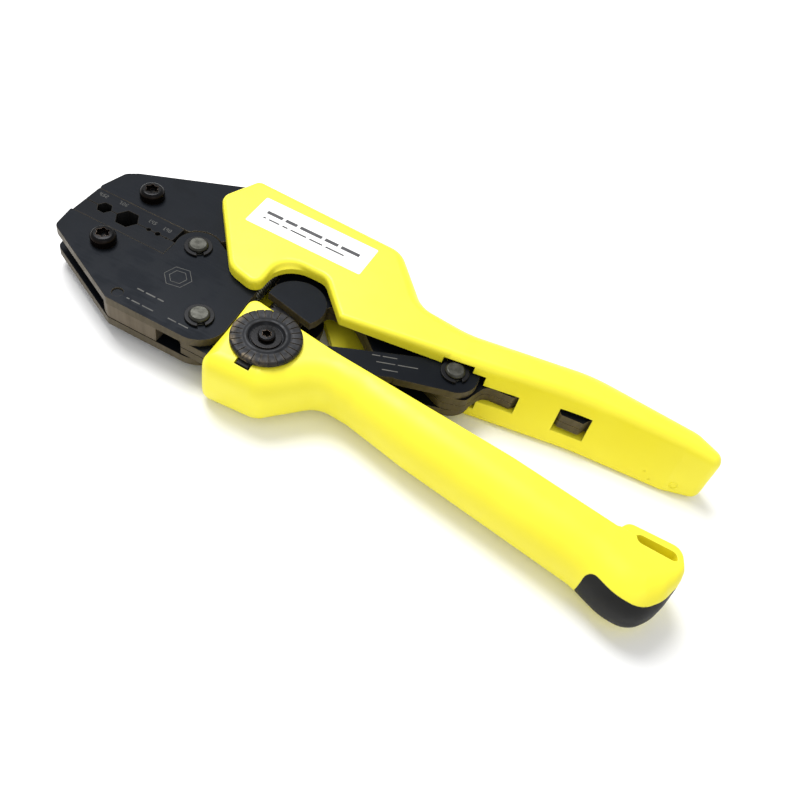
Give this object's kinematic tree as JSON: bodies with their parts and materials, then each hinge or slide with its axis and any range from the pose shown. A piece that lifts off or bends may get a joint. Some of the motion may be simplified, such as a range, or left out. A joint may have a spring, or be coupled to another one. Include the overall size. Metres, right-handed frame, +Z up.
{
  "type": "ratchet crimping tool",
  "caption": "Hand crimping tool with hexagonal and round nests in two screwed-in dies, toggle linkage, adjuster wheel and two moulded grips",
  "frame": {"origin": "centre of the tool's bounding box, on the surface it lies on", "axes": "+X from the jaws towards the grip ends, +Y towards the fixed grip, +Z up through the top face"},
  "size_m": [0.2226, 0.0861, 0.024],
  "materials": {
    "black_oxide": "blackened steel plate, satin, with bright worn edges",
    "die_steel": "blackened ground die steel, satin",
    "worn_steel": "dark steel with bronze wear on the edges",
    "pin_steel": "ground pin ends, slightly oily",
    "clip_steel": "black phosphated spring steel",
    "spring_steel": "drawn spring wire",
    "screw_black": "black oxide screw, semi-gloss",
    "yellow_plastic": "lemon yellow moulded plastic, fine satin grain",
    "black_plastic": "black moulded plastic",
    "wheel_black": "blackened sintered wheel with brown worn rim",
    "label_vinyl": "blank white sticker"
  },
  "bodies": {
    "frame": {"frame_plate_top": "black_oxide", "frame_plate_bottom": "black_oxide", "upper_jaw_cheek_top": "black_oxide", "upper_jaw_cheek_bottom": "black_oxide", "upper_die": "die_steel", "upper_die_screw": "screw_black", "main_pivot_pin": "pin_steel", "main_pivot_clips": "clip_steel", "frame_rivets": "pin_steel", "fixed_grip": "yellow_plastic", "blank_label": "label_vinyl", "link_anchor_pin": "pin_steel", "link_anchor_clips": "clip_steel", "pawl_cheek_top": "black_oxide", "pawl_cheek_bottom": "black_oxide", "pawl_cheek_rivet": "pin_steel", "pawl_pin": "pin_steel", "frame_spring_post": "pin_steel", "opening_spring": "spring_steel"},
    "lower_jaw": {"lower_jaw_plate_top": "black_oxide", "lower_jaw_plate_bottom": "black_oxide", "lower_die": "die_steel", "lower_die_screw": "screw_black", "jaw_spacer": "worn_steel", "jaw_dowel": "black_oxide", "toggle_pin": "pin_steel", "toggle_pin_clips": "clip_steel", "jaw_spring_post": "pin_steel"},
    "link": {"link_plate_top": "black_oxide", "link_plate_bottom": "black_oxide"},
    "moving_handle": {"toggle_plate_top": "black_oxide", "toggle_plate_bottom": "black_oxide", "toggle_rivets": "pin_steel", "ratchet_segment": "worn_steel", "moving_grip": "yellow_plastic", "grip_end_cap": "black_plastic", "wheel_lock_block": "black_plastic"},
    "adjuster": {"adjuster_axle": "pin_steel", "adjuster_wheel": "wheel_black", "wheel_washer": "screw_black", "wheel_screw": "screw_black"},
    "pawl": {"ratchet_pawl": "worn_steel", "pawl_spring": "spring_steel"}
  },
  "joints": [
    {"name": "jaw_swing", "type": "hinge", "parent": "frame", "child": "lower_jaw", "pos_m": [-0.06815, 0.0051, 0.0105], "axis": [0, 0, 1], "range_deg": [0, 11.2], "deforming": ["opening_spring"]},
    {"name": "link_swing", "type": "hinge", "parent": "frame", "child": "link", "pos_m": [0.02585, 0.0056, 0.0105], "axis": [0, 0, 1], "range_deg": [0, 6.4]},
    {"name": "handle_swing", "type": "hinge", "parent": "link", "child": "moving_handle", "pos_m": [-0.02715, -0.0201, 0.0105], "axis": [0, 0, -1], "range_deg": [0, 30]},
    {"name": "adjuster_turn", "type": "hinge", "parent": "moving_handle", "child": "adjuster", "pos_m": [-0.02715, -0.0201, 0.0105], "axis": [0, 0, 1], "continuous": true},
    {"name": "pawl_flip", "type": "hinge", "parent": "frame", "child": "pawl", "pos_m": [-0.02965, 0.0021, 0.0105], "axis": [0, 0, 1], "range_deg": [-18, 18], "stiffness_Nm_per_rad": 0.02, "deforming": ["pawl_spring"]}
  ],
  "couplings": [
    {"joint": "link_swing", "follows": "handle_swing", "ratio": 0.2117},
    {"joint": "jaw_swing", "follows": "handle_swing", "ratio": 0.3713}
  ]
}
